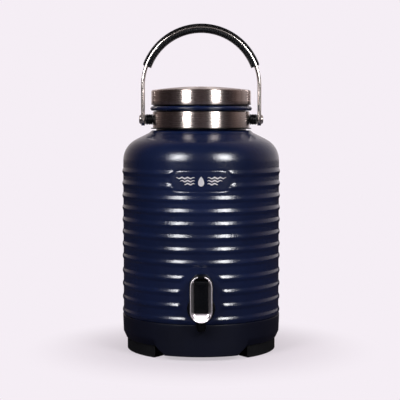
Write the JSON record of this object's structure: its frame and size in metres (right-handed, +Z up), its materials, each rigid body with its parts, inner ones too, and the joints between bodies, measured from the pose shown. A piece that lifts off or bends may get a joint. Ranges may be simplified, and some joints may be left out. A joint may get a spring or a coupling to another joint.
{
  "type": "beverage dispenser",
  "caption": "Insulated one gallon drinks jug with ribbed double-wall steel body, screw lid, folding bail handle and push-lever tap on a black base boot.",
  "frame": {"origin": "on the floor plane under the middle of the whole object's box; the body axis stands 8 mm behind it", "axes": "+Z up along the body axis, -Y the front with the tap, +X to the right seen from the front"},
  "size_m": [0.172, 0.188, 0.3531],
  "materials": {
    "navy_paint": "navy powder coat, satin with fine orange peel",
    "boot_plastic": "near-black charcoal moulded plastic, satin",
    "foot_rubber": "black ribbed rubber",
    "black_plastic": "black moulded plastic",
    "brushed_steel": "stainless steel brushed round the axis",
    "polished_steel": "polished stainless steel",
    "vessel_steel": "electropolished stainless steel",
    "silicone": "pale food-grade silicone",
    "foam": "rigid polyurethane foam"
  },
  "bodies": {
    "root": {"outer_shell": "navy_paint", "inner_vessel": "vessel_steel", "mouth_ring": "vessel_steel", "tap_tube": "vessel_steel", "outer_bottom": "vessel_steel", "vacuum_seal_button": "vessel_steel", "base_boot": "boot_plastic", "foot_front_right": "foot_rubber", "foot_back_right": "foot_rubber", "foot_back_left": "foot_rubber", "foot_front_left": "foot_rubber", "neck_bead": "navy_paint", "collar_band": "brushed_steel", "collar_liner": "black_plastic", "pivot_boss_right": "black_plastic", "pivot_washer_right": "silicone", "pivot_screw_right": "polished_steel", "pivot_boss_left": "black_plastic", "pivot_washer_left": "silicone", "pivot_screw_left": "polished_steel", "tap_gasket": "silicone", "tap_body": "black_plastic", "tap_shank": "black_plastic", "tap_frame": "polished_steel", "lever_pin": "polished_steel", "tap_inner_washer": "silicone", "tap_nut": "polished_steel", "valve_spring": "polished_steel"},
    "handle": {"handle_strap": "polished_steel", "grip_base": "black_plastic", "grip_cover": "black_plastic", "grip_screw_right": "polished_steel", "grip_screw_left": "polished_steel"},
    "lid_seal": {"lid_gasket": "silicone"},
    "lid": {"lid_shell": "brushed_steel", "lid_core": "black_plastic", "lid_plug": "black_plastic", "lid_insulation": "foam"},
    "lever": {"tap_lever": "black_plastic"},
    "valve": {"valve_stem": "polished_steel", "valve_seal": "silicone"}
  },
  "joints": [
    {"name": "handle_fold", "type": "hinge", "parent": "root", "child": "handle", "pos_m": [0, 0.00797, 0.2499], "axis": [1, 0, 0], "range_deg": [-105, 105]},
    {"name": "lid_lift", "type": "slide", "parent": "root", "child": "lid_seal", "axis": [0, 0, 1], "range_m": [0, 0.022]},
    {"name": "lid_turn", "type": "hinge", "parent": "lid_seal", "child": "lid", "pos_m": [0, 0.00797, 0.27], "axis": [0, 0, 1], "range_deg": [0, 441]},
    {"name": "lever_swing", "type": "hinge", "parent": "root", "child": "lever", "pos_m": [0, -0.09123, 0.084], "axis": [-1, 0, 0], "range_deg": [0, 60]},
    {"name": "valve_lift", "type": "slide", "parent": "root", "child": "valve", "axis": [0, 0, 1], "range_m": [0, 0.0039], "stiffness_N_per_m": 200, "deforming": ["valve_spring"]}
  ],
  "couplings": [
    {"joint": "lid_turn", "follows": "lid_lift", "rad_per_m": 349.07},
    {"joint": "lever_swing", "follows": "valve_lift", "rad_per_m": 268.47}
  ]
}
